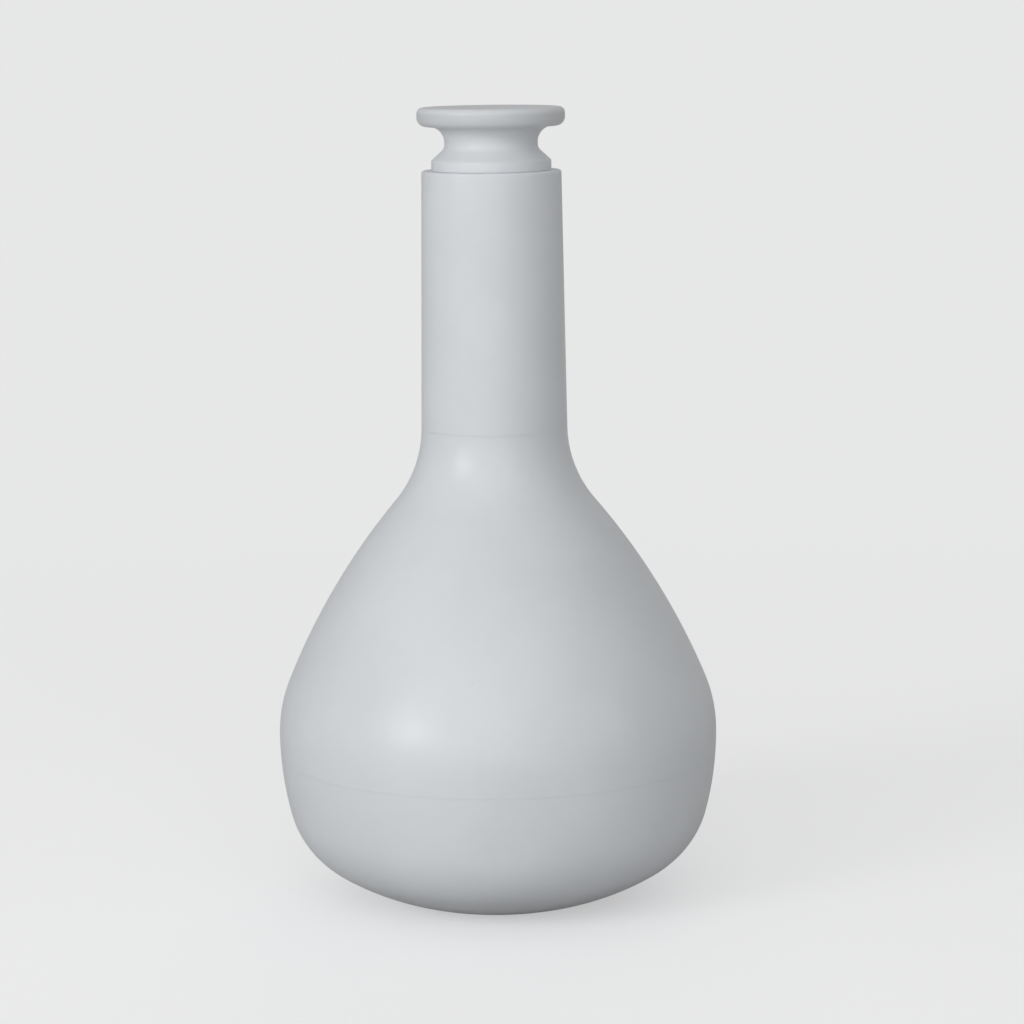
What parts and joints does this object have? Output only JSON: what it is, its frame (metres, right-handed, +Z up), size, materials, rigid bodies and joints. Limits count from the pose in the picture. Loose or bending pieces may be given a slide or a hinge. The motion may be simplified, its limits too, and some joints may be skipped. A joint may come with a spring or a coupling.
{
  "type": "volumetric flask",
  "caption": "Opaque white polymer volumetric flask: a turned pear-shaped bulb, a slim, slightly tapered neck and a flanged stopper whose taper plug lifts out of the neck.",
  "frame": {"origin": "middle of the plane that the foot stands on, on the flask's axis", "axes": "+Z up along the flask's axis; +X and +Y are free, because the flask is a body of revolution"},
  "size_m": [0.064, 0.064, 0.1152],
  "materials": {
    "turned_body": "waxy satin white fluoropolymer with faint turning marks",
    "turned_stopper": "waxy satin white fluoropolymer with finer turning marks"
  },
  "bodies": {
    "flask": {"lower_bulb": "turned_body", "upper_bulb": "turned_body", "neck_tube": "turned_body"},
    "stopper": {"stopper": "turned_stopper"}
  },
  "joints": [
    {"name": "stopper_lift", "type": "slide", "parent": "flask", "child": "stopper", "axis": [0, 0, 1], "range_m": [0, 0.04]}
  ]
}
